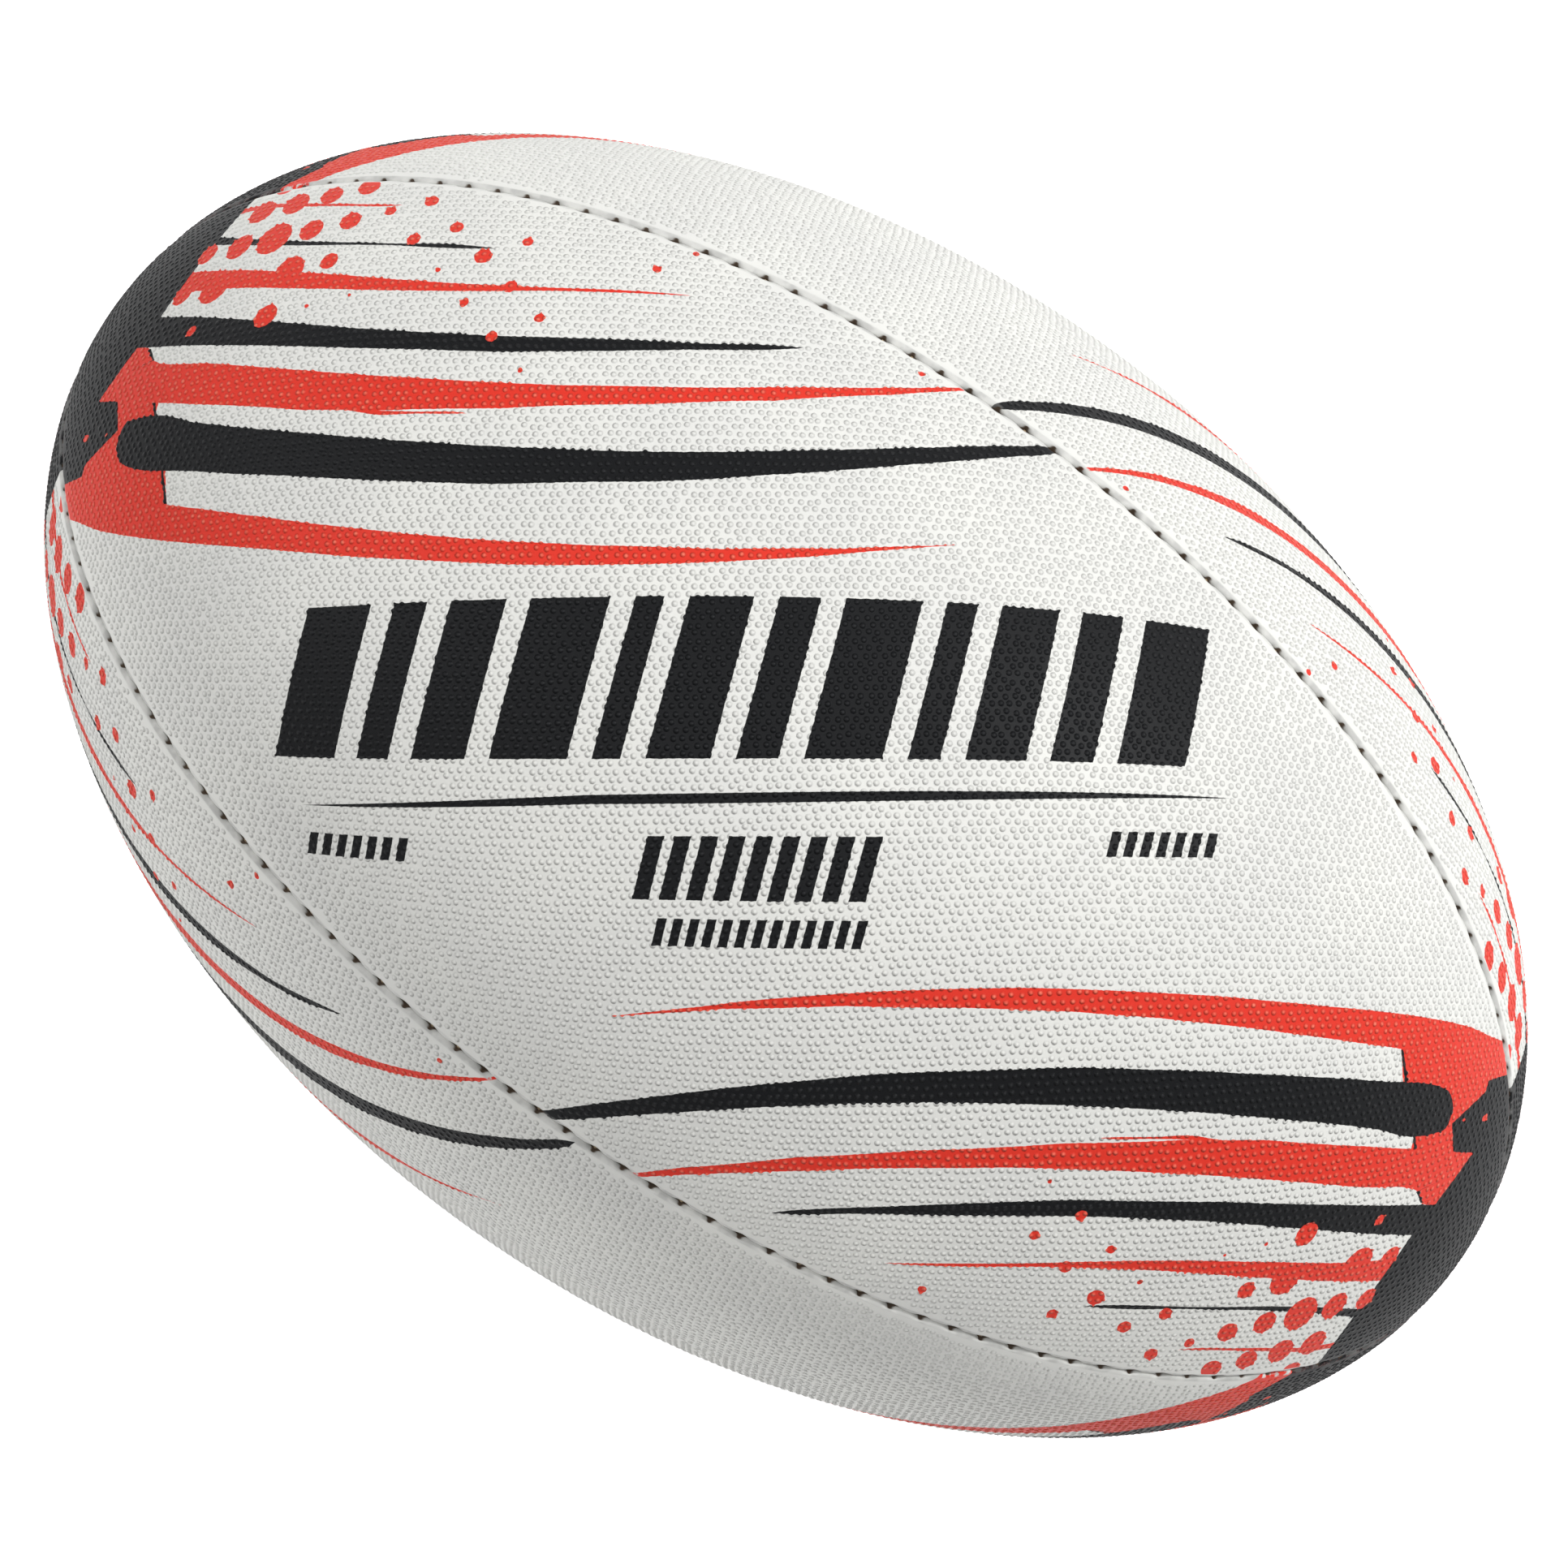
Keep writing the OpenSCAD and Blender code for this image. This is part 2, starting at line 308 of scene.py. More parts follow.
# Dots of the print: row, number of the first one, radii. 0 is a place with no dot.
DOTS = (
    (0, -1, (3.0, 2.9, 2.4, 2.3)),
    (1, -2, (2.2, 2.8, 3.6, 2.4, 2.1, 1.1, 1.4)),
    (2, -2, (2.2, 3.3, 0, 3.0, 1.7, 0, 1.3, 1.3)),
    (3, -1, (1.0, 0, 2.2, 0.4, 0.3, 0, 0.5, 1.6, 1.0)),
    (4, 6, (0.8, 1.2)), (5, 7, (1.0, 0.9)), (6, 8, (0.4,)),
)
# Dots outside the rows: u, v, radius
LOOSE_DOTS = ((-93, 110.6, 2.3), (-18.4, 84.4, 0.8), (-11, 89, 0.6), (26, 68.3, 0.55),
              (-129.1, 64, 0.8), (-122.6, 63, 0.35))
DOT_U, DOT_V, DOT_STEP = -89.2, 103.8, 8.1  # dot 0 of row 0, and the step to the next dot
DOT_ROW_BACK, DOT_ROW_DOWN = 2.94, 8.53  # step to the next row
DOT_ROW_BEND, DOT_ROW_LOWEST = 0.00415, -93
DOT_TURN, DOT_LONG, DOT_WIDE = math.radians(35), 1.1, 0.91
DOTS_ABOVE = 45  # no dot lies nearer to the middle than this

# Plain slanted bars in the middle of the print, with their widths from the left
BAR_WIDTHS = (11, 5.5, 9, 12.5, 4.5, 10, 6.5, 12, 5, 9.5, 7, 11.5)
BAR_START, BAR_GAP = -79.5, 3.9
BAR_LOW, BAR_HIGH, BAR_SLANT = 0.4, 25.6, 0.27
MARKS_WITHIN = 32  # no bar or tick lies further from the middle than this
# The line under the bars: u and v of its points. It is thickest in its middle.
UNDERLINE = (-78, -30, 0, 71), (-8.0, -5.9, -5.5, -4.6)
UNDERLINE_MIDDLE, UNDERLINE_HALF, UNDERLINE_THICK, UNDERLINE_TAPER = -3.5, 75.0, 0.8, 0.8
UNDERLINE_REACH = 1.9  # a triangle nearer than this belongs to the line
# Rows of small ticks: start, bottom, top, width, gap, how many
TICK_ROWS = ((-22, -21.5, -11.5, 2.6, 1.6, 9), (-20, -28.8, -24.4, 1.5, 1.1, 13),
             (-78, -16.8, -12.8, 1.6, 1.1, 7), (51, -14.6, -10.6, 1.6, 1.1, 7))


def print_dots():
    """Each dot as u, v, radius."""
    dots = list(LOOSE_DOTS)
    for row, first, radii in DOTS:
        for j, radius in enumerate(radii, first):
            if radius:
                u = DOT_U - DOT_ROW_BACK * row + DOT_STEP * j
                v = DOT_V - DOT_ROW_DOWN * row + DOT_ROW_BEND * (u - DOT_ROW_LOWEST) ** 2
                dots.append((u, v, radius))
    return np.array(dots)


def print_bars():
    """Each bar and tick as middle u, middle v, half width, half height."""
    bars = []

    def add(u, width, low, high):
        bars.append((u + width / 2, (low + high) / 2, width / 2, (high - low) / 2))

    u = BAR_START
    for width in BAR_WIDTHS:
        add(u, width, BAR_LOW, BAR_HIGH)
        u += width + BAR_GAP
    for start, low, high, width, gap, count in TICK_ROWS:
        for k in range(count):
            add(start + k * (width + gap), width, low, high)
    return np.array(bars)


def lattice(rng, ring):
    """Irregular rows of pimples in the flattened panel, and points half way between them."""
    m, n = np.meshgrid(np.arange(-360, 361), np.arange(-210, 211), indexing="ij")
    centre = (m % 2 == 0) & (n % 2 == 0)
    jitter = np.clip(rng.normal(0, JITTER, m.shape + (2,)), -JITTER_LIMIT, JITTER_LIMIT)
    jitter = jitter * centre[..., None]
    # the points between two pimples stay half way between them
    shift = {(1, 0): ((1, 0), (-1, 0)), (0, 1): ((0, 1), (0, -1)), (1, 1): ((1, -1), (-1, 1))}
    whole = jitter.copy()
    for (a, b), (one, two) in shift.items():
        here = (m % 2 == a) & (n % 2 == b)
        mean = (np.roll(jitter, one, (0, 1)) + np.roll(jitter, two, (0, 1))) / 2
        whole[here] = mean[here]
    u = (m / 2 + n / 4) * PITCH + whole[..., 0]
    v = n * math.sqrt(3) / 4 * PITCH + whole[..., 1]
    # slow waves bend the rows, by less than a pitch over 15 to 40 mm
    p, q = rng.uniform(0, 6.28, 2)
    u, v = (u + 0.9 * np.sin(v / 19 + p) + 0.6 * np.sin(u / 31 + v / 27 + q),
            v + 0.8 * np.sin(u / 23 + q) + 0.5 * np.sin(v / 15 + u / 40 + p))
    keep = (np.abs(u) < LATTICE_LONG) & (np.abs(v) < LATTICE_WIDE)
    points, centre = rotate(np.stack([u[keep], v[keep]], -1), PRINT_TURN), centre[keep]
    angle = np.interp(points[:, 0], SURFACE_ARC, ANGLE)
    angle = np.clip(angle, TIP_ANGLE, math.pi - TIP_ANGLE)
    room = radius_at(angle) * beside_seam(angle, EDGE_BAND, RELIEF) - np.abs(points[:, 1])
    room = np.minimum(room, SHEET_END - np.abs(points[:, 0]))
    if len(ring):
        room = np.minimum(room, length(points - ring.mean(0)) - VALVE_RIM[0][0])
    keep = room > VERTEX_ROOM
    return points[keep], centre[keep] & (room[keep] > PIMPLE_ROOM)


def rubber_panel(name, side, seed):
    turn = TURNS[side]
    rng = np.random.default_rng(seed)
    angle, near = stations(STATIONS_PER_STITCH)
    n = len(angle)
    vertices, prints, greys, count = [], [], [], 0

    def add(a, phi, depth, where, grey):
        """Vertices, with their place in the flattened panel and how grey they are. The material paints grey
        as shade and dirt, and breaks the print there.
        """
        nonlocal count
        a, phi, depth, grey = np.broadcast_arrays(a, phi, depth, grey)
        vertices.append(place(a, phi, depth, turn))
        prints.append(slipped(to_print(where), side))
        greys.append(grey)
        count += len(a)
        return np.arange(count - len(a), count)

    faces, sides = [], {}
    edge = flat(angle, beside_seam(angle, EDGE_BAND, RELIEF))
    size = np.random.default_rng(HOLE_SEED).uniform(*HOLE_SIZES, n)
    for sign in (1, -1):
        rows, path, before = [], 0.0, EDGE_ROWS[0]
        for row in EDGE_ROWS:
            out, down, opened, pulled, plain, stitched = row
            offset, depth = out + opened * near * size, down + pulled * near
            # greyer into the seam and at each stitch: painted shade in the material
            grey = np.maximum(plain, stitched * near)
            phi = beside_seam(angle, offset, depth)
            path += math.hypot(out - before[0], down - before[1])
            before = row
            where = (edge + np.array([0, path])) * [1, sign]
            rows.append(add(angle, sign * phi, depth, where, grey))
        for offset, depth in INNER_ROWS:
            phi = beside_seam(angle, offset, depth)
            rows.append(add(angle, sign * phi, depth, flat(angle, sign * phi), 1))
        sides[sign] = rows
        faces.append(bridge(rows)[:, ::sign])

    # the outer sheet
    ring = valve_ring(VALVE_RIM[0][0]) if side == "front" else np.zeros((0, 2))
    points, centre = lattice(rng, ring)
    ring_rows, ring_ids = [], np.zeros(0, int)
    if len(ring):
        for radius, depth, grey in VALVE_RIM:
            circle = valve_ring(radius)
            ring_rows.append(add(*unflat(circle), depth, circle, grey))
        ring_ids = ring_rows[0]
        faces.append(bridge(ring_rows, closed=True))
    depth = np.where(centre, TOP_DEPTH + TOP_SPREAD * rng.random(len(points)), RELIEF)
    sheet_ids = add(*unflat(points), depth, points, 0.0)
    outer = fill(edge, points, ring)
    ids = np.concatenate([sides[1][0], sides[-1][0], ring_ids, sheet_ids])
    is_centre = np.concatenate([np.zeros(2 * n + len(ring), bool), centre])

    # offset of each corner from the middle of its pimple, dot or bar
    at = np.concatenate([edge, edge * [1, -1], ring, points])
    level = place(*unflat(at), RELIEF, turn)
    corner = at[outer]
    middle = corner.mean(1)
    distance = length(corner - middle[:, None])
    distance[~is_centre[outer]] = np.inf
    own = outer[np.arange(len(outer)), distance.argmin(1)]
    pimple = level[outer] - level[own][:, None]
    pimple[np.isinf(distance.min(1))] = FAR

    # the print below the middle is turned round, and its dots are the ones above
    printed = to_print(at)
    from_middle = to_print(middle)[:, 1]
    flip = np.where(from_middle < 0, -1.0, 1.0)
    dots = print_dots()
    art = printed[outer]
    turned = slipped(printed, side)[outer] * flip[:, None, None]
    centres = turned.mean(1)
    dot = np.full(art.shape[:2] + (3,), FAR)
    high = np.nonzero(centres[:, 1] > DOTS_ABOVE)[0]
    gap = length(centres[high][:, None] - dots[None, :, :2]) - dots[None, :, 2]
    nearest = dots[gap.argmin(1)]
    away = rotate(turned[high] - nearest[:, None, :2], -DOT_TURN)
    dot[high, :, :2] = away / (nearest[:, None, 2:] * [DOT_LONG, DOT_WIDE])
    dot[high, :, 2] = nearest[:, None, 2]

    # a bar is stored as how far past its sides, the height from its middle, and its half height
    bar = np.full(dot.shape, FAR)
    if side in MARKED:
        bars = print_bars()
        low = np.nonzero(np.abs(from_middle) < MARKS_WITHIN)[0]
        mid = art[low].mean(1)
        du, dv = mid[:, None, 0] - bars[:, 0], mid[:, None, 1] - bars[:, 1]
        apart = np.maximum(np.abs(du - BAR_SLANT * dv) - bars[:, 2], np.abs(dv) - bars[:, 3])
        chosen = bars[apart.argmin(1)][:, None]
        du, dv = art[low][..., 0] - chosen[..., 0], art[low][..., 1] - chosen[..., 1]
        bar[low] = np.stack([np.abs(du - BAR_SLANT * dv) - chosen[..., 2], dv,
                             np.broadcast_to(chosen[..., 3], dv.shape)], -1)
        line = np.interp(mid[:, 0], *UNDERLINE)
        ruled = low[np.abs(mid[:, 1] - line) < UNDERLINE_REACH]
        u, v = art[ruled][..., 0], art[ruled][..., 1]
        taper = np.clip(1 - ((u - UNDERLINE_MIDDLE) / UNDERLINE_HALF) ** 2, 0, 1)
        thick = UNDERLINE_THICK * taper ** UNDERLINE_TAPER
        bar[ruled] = np.stack([np.abs(u - UNDERLINE_MIDDLE) - UNDERLINE_HALF,
                               v - np.interp(u, *UNDERLINE), thick], -1)
    outer_faces = ids[outer]

    # the inner sheet
    first_inner = len(EDGE_ROWS) + len(INNER_ROWS) - 1
    inner_right = flat(angle, beside_seam(angle, *INNER_ROWS[-1]))
    inner_ring = valve_ring(VALVE_HOLE) if len(ring) else ring
    grid = hidden_grid(rng, inner_right, ring)
    grid_ids = add(*unflat(grid), RUBBER, grid, 1)
    inner = fill(inner_right, grid, inner_ring)
    inner_ids = [sides[1][first_inner], sides[-1][first_inner]]
    inner_ids += [ring_rows[-1]] if len(ring) else []
    faces.append(np.concatenate(inner_ids + [grid_ids])[inner][:, ::-1])

    # the two ends
    for end in (0, n - 1):
        right = [row[end] for row in sides[1]]
        left = [row[end] for row in sides[-1]]
        loop = np.array([right + left[::-1]])
        faces.append(loop if end == 0 else loop[:, ::-1])

    faces.insert(0, outer_faces)
    obj = make_piece(name, np.concatenate(vertices), faces)
    loops = len(obj.data.loops)
    for label, values in (("pimple", pimple), ("dot", dot), ("bar", bar)):
        whole = np.full((loops, 3), FAR)
        whole[: outer_faces.size] = values.reshape(-1, 3)
        set_attribute(obj, label, "CORNER", whole)
    set_attribute(obj, "print", "POINT", np.concatenate(prints))
    set_attribute(obj, "edge", "POINT", np.concatenate(greys))

    # the sheet is shaded as the smooth oval, and its pimples are added by the material
    normals = np.zeros(len(obj.data.vertices) * 3, np.float32)
    obj.data.vertex_normals.foreach_get("vector", normals)
    normals = normals.reshape(-1, 3)
    normals[sheet_ids] = outward(np.concatenate(vertices)[sheet_ids])
    obj.data.normals_split_custom_set_from_vertices(normals.tolist())
    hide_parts("panel_" + side)
    return obj


# ---- the cloth plies ----
PLY, FIRST_PLY, PLY_PITCH = 0.35, 1.25, 0.4  # thickness, depth of the outer one, step inward
LUMPS = 0.002
# A ply ends where the first share of the radius is less than its offset and the room
PLY_TIP_SHARE, PLY_TIP_ROOM = 0.6, 0.7


def solidify(obj, thickness):
    thin = obj.modifiers.new("thickness", "SOLIDIFY")
    thin.thickness = thickness * MM
    thin.offset = -1
    return obj


def ply(name, side, layer, seed):
    turn = TURNS[side]
    rng = np.random.default_rng(seed)
    depth = FIRST_PLY + layer * PLY_PITCH
    offset = SEAM_GAP + depth
    angle, _ = stations(1)
    angle = np.sort(np.concatenate([angle, (angle[1:] + angle[:-1]) / 2]))
    # a ply stops short of the tip, where it no longer fits between the two seams
    angle = angle[radius_at(angle, depth) * PLY_TIP_SHARE > offset + PLY_TIP_ROOM]
    n = len(angle)
    # the rounded bend, and the flange
    rows = ((offset + 0.55, depth), (offset + 0.12, depth + 0.15), (offset, depth + 0.6),
            (offset, STITCH_DEPTH), (offset, FLANGE_DEPTH))
    vertices, cuts, faces, ids, count = [], [], [], {}, 0
    for sign in (1, -1):
        found, run = [], 0.0
        for k, (o, d) in enumerate(rows):
            phi = beside_seam(angle, o, d) * sign
            vertices.append(place(angle, phi, d, turn))
            run += math.hypot(o - rows[k - 1][0], d - rows[k - 1][1]) if k else 0
            cuts.append(flat(angle, beside_seam(angle, *rows[0]) * sign) + np.array([0, run * sign]))
            found.append(np.arange(count, count + n))
            count += n
        ids[sign] = found
        faces.append(bridge(found)[:, ::sign])
    right = flat(angle, beside_seam(angle, *rows[0]))
    ring = valve_ring(VALVE_HOLE, 32) if side == "front" else np.zeros((0, 2))
    grid = hidden_grid(rng, right, ring)
    extra = np.concatenate([ring, grid])
    lumpy = depth + rng.uniform(-LUMPS, LUMPS, len(extra))
    vertices.append(place(*unflat(extra), lumpy, turn))
    cuts.append(extra)
    triangles = fill(right, grid, ring)
    numbers = np.concatenate([ids[1][0], ids[-1][0], np.arange(count, count + len(extra))])
    faces.append(numbers[triangles])
    obj = make_piece(name, np.concatenate(vertices), faces)
    set_attribute(obj, "cut", "POINT", np.concatenate(cuts))
    solidify(obj, PLY)
    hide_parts(name.replace("cloth", "lining"))
    return obj


# ---- the sewing thread ----
THREAD_RADIUS, LANE = 0.4, 2.9  # LANE is from the seam plane to the thread's two long runs
THREAD_SIDES, THREAD_STEP, THREAD_END = 9, 0.55, 0.3
STRANDS, STRAND_RELIEF, STRAND_MEAN = 3, 0.16, 0.93
STRAND_REPEAT = 1.9  # the twist looks the same again after this distance
SAG = 0.10
STITCH_RISE, STITCH_LEAN = (2.2, 2.8), 0.25


def tube(points, reference):
    """A closed twisted thread along points. reference is never along it."""
    points = np.asarray(points, float)
    tangent = np.gradient(points, axis=0)
    tangent /= np.linalg.norm(tangent, axis=1, keepdims=True)
    one = np.cross(tangent, reference)
    one /= np.linalg.norm(one, axis=1, keepdims=True)
    two = np.cross(tangent, one)
    run = np.concatenate([[0], np.cumsum(length(np.diff(points, axis=0)))])
    around = circle_angles(THREAD_SIDES)
    twist = run[:, None] * 2 * math.pi / STRAND_REPEAT / STRANDS
    strands = 1 + STRAND_RELIEF * np.cos(STRANDS * (around[None] - twist))
    r = THREAD_RADIUS * strands * STRAND_MEAN
    ring = (points[:, None] + one[:, None] * (r * np.cos(around))[..., None]
            + two[:, None] * (r * np.sin(around))[..., None])
    number = np.arange(len(points) * THREAD_SIDES).reshape(-1, THREAD_SIDES)
    caps = [number[0][None], number[-1][None, ::-1]]
    return ring.reshape(-1, 3), bridge(number, closed=True)[:, ::-1], caps


def seam_thread(name, seam, seed):
    rng = np.random.default_rng(seed)
    turn = math.radians(SEAMS[seam])
    out = np.array([0, math.sin(turn), math.cos(turn)])
    beside = np.array([0, math.cos(turn), -math.sin(turn)])
    along_ball = np.array([1.0, 0, 0])

    def at(angle, depth, side):
        along = -(HALF_LENGTH - depth) * np.cos(angle)
        r = (HALF_WAIST - depth) * np.sin(angle)
        return along_ball * along[..., None] + out * r[..., None] + beside * side[..., None]

    end = STITCHES_PER_HALF * STITCH_PITCH
    vertices, quads, caps, paths, count = [], [], [], [], 0
    run = np.arange(-end - THREAD_END, end + THREAD_END, THREAD_STEP)
    for side in (1, -1):
        sag = SAG * np.cos(2 * math.pi * run / STITCH_PITCH)
        angle = np.interp(run, STITCH_ARC, ANGLE)
        paths.append((at(angle, STITCH_DEPTH + sag, np.full(len(run), LANE * side)), beside))
    for k in range(-STITCHES_PER_HALF, STITCHES_PER_HALF + 1):
        t = np.linspace(-1, 1, 13)
        lift = (1 - t**2) ** 1.5 * rng.uniform(*STITCH_RISE)
        lean = t * rng.uniform(-STITCH_LEAN, STITCH_LEAN)
        angle = np.interp(k * STITCH_PITCH + lean, STITCH_ARC, ANGLE)
        paths.append((at(angle, STITCH_DEPTH - lift, t * LANE), along_ball))
    for points, reference in paths:
        v, q, c = tube(points, reference)
        vertices.append(v)
        quads.append(q + count)
        caps += [x + count for x in c]
        count += len(v)
    obj = make_piece(name, np.concatenate(vertices), [np.concatenate(quads), np.concatenate(caps)])
    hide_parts("seam_thread_" + seam)
    return obj


# ---- bladder, patches and valve ----
# The skin's depth and thickness, and the furrow that it has over each seam: depth, half the
# width of its floor, width of its side
BLADDER_DEPTH, BLADDER = 3.65, 0.8
FURROW_DEPTH, FURROW_HALF, FURROW_SIDE = 6.85, 3.65, 2.2
BLADDER_HOLE = 3.45  # radius
HOLE_FROM, HOLE_TO = 2.4, 10  # what lay between these radii is drawn outward from the hole
BLADDER_ALONG, BLADDER_AROUND, BLADDER_END = 150, 240, 0.02
VALVE_STEPS = 72
PATCH_RINGS, PATCH_RIM, PATCH_DROP = 9, 0.15, 0.12  # the rim is bent down
PATCH_THICKNESS, LINING_PATCH_DEPTH, BLADDER_PATCH_DEPTH = 0.5, 2.48, 3.10
LINING_PATCH, BLADDER_PATCH = 30, 25  # diameters
valve_u = np.array([1.0, 0, 0])
valve_n = np.array(VALVE_AXIS)
valve_v = np.cross(valve_n, valve_u)


def bladder_piece():
    angle = np.linspace(BLADDER_END, math.pi - BLADDER_END, BLADDER_ALONG)
    grid_angle, grid_phi = np.meshgrid(angle, circle_angles(BLADDER_AROUND), indexing="ij")
    r = radius_at(grid_angle, BLADDER_DEPTH)
    from_seam = np.abs(np.mod(grid_phi, 2 * QUARTER) - QUARTER)
    beside = np.abs(r * np.sin(from_seam))
    rise = ease((beside - FURROW_HALF) / FURROW_SIDE)
    depth = FURROW_DEPTH + (BLADDER_DEPTH - FURROW_DEPTH) * rise
    points = place(grid_angle, grid_phi, depth, 0.0).reshape(-1, 3)
    # opened round the valve
    height = points @ valve_n
    across = points - height[:, None] * valve_n
    distance = length(across)
    by_valve = (height > 0) & (distance < HOLE_TO)
    moved = BLADDER_HOLE + (distance - HOLE_FROM) * (HOLE_TO - BLADDER_HOLE) / (HOLE_TO - HOLE_FROM)
    points[by_valve] += (across * ((moved / np.maximum(distance, 1e-6)) - 1)[:, None])[by_valve]
    number = np.arange(len(points)).reshape(grid_angle.shape)
    quads = bridge(number, closed=True)[:, ::-1]
    gone = (height > 0) & (distance < HOLE_FROM)
    quads = quads[~gone[quads].any(1)]
    used = np.unique(quads)
    renumber = np.full(len(points), -1)
    renumber[used] = np.arange(len(used))
    ends = [renumber[number[0]][None], renumber[number[-1]][None, ::-1]]
    obj = make_piece("bladder_skin", points[used], [renumber[quads]] + ends)
    solidify(obj, BLADDER)
    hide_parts("bladder")
    return obj


def patch(name, node, depth, diameter, hole):
    radii = np.linspace(hole, diameter / 2 - PATCH_RIM, PATCH_RINGS)
    radii = np.append(radii, diameter / 2)
    turn = circle_angles(VALVE_STEPS)
    p, q = radii[:, None] * np.cos(turn), radii[:, None] * np.sin(turn)
    a, b = HALF_LENGTH - depth, HALF_WAIST - depth
    low = np.zeros(len(radii))
    low[-1] = PATCH_DROP
    height = np.sqrt(b * b * (1 - p * p / (a * a)) - q * q) - low[:, None]
    points = p[..., None] * valve_u + q[..., None] * valve_v + height[..., None] * valve_n
    number = np.arange(len(radii) * VALVE_STEPS).reshape(-1, VALVE_STEPS)
    obj = make_piece(name, points.reshape(-1, 3), [bridge(number, closed=True)[:, ::-1]])
    set_attribute(obj, "cut", "POINT", np.stack([p, q], -1).reshape(-1, 2))
    solidify(obj, PATCH_THICKNESS)
    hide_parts(node)
    return obj


def lathe(name, node, profile):
    """profile is a closed outline of (radius, height along the valve's axis), outside first."""
    turn = circle_angles(VALVE_STEPS)
    r, h = np.array(profile, float).T
    points = (r[:, None, None] * (np.cos(turn)[:, None] * valve_u + np.sin(turn)[:, None] * valve_v)
              + h[:, None, None] * valve_n)
    number = np.arange(len(r) * VALVE_STEPS).reshape(-1, VALVE_STEPS)
    loop = np.concatenate([number, number[:1]])
    obj = make_piece(name, points.reshape(-1, 3), [bridge(loop, closed=True)])
    sharp = obj.modifiers.new("corners", "EDGE_SPLIT")
    sharp.split_angle = math.radians(50)
    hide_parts(node)
    return obj


HOUSING = (
    (0.8, 78.2), (3.9, 78.2), (4.2, 78.5), (4.2, 88.65), (7.8, 88.65), (8.0, 88.85),
    (8.0, 89.85), (7.8, 90.05), (3.6, 90.05), (3.3, 90.3), (3.3, 94.2), (3.2, 94.4), (3.0, 94.5),
    (2.3, 94.5), (2.15, 94.44), (2.08, 94.3), (2.08, 80.57), (0.8, 80.57))
PLUG = (
    (0.01, 80.6), (1.9, 80.6), (2.05, 80.8), (2.05, 93.95), (1.98, 94.12), (1.8, 94.2),
    (1.45, 94.2), (1.3, 94.12), (1.25, 93.9), (1.25, 82.2), (0.01, 82.2))


# ---- materials ----
def linear(*rgb):
    c = np.array(rgb) / 255
    c = np.where(c <= 0.04045, c / 12.92, ((c + 0.055) / 1.055) ** 2.4)
    return tuple(float(x) for x in c) + (1.0,)


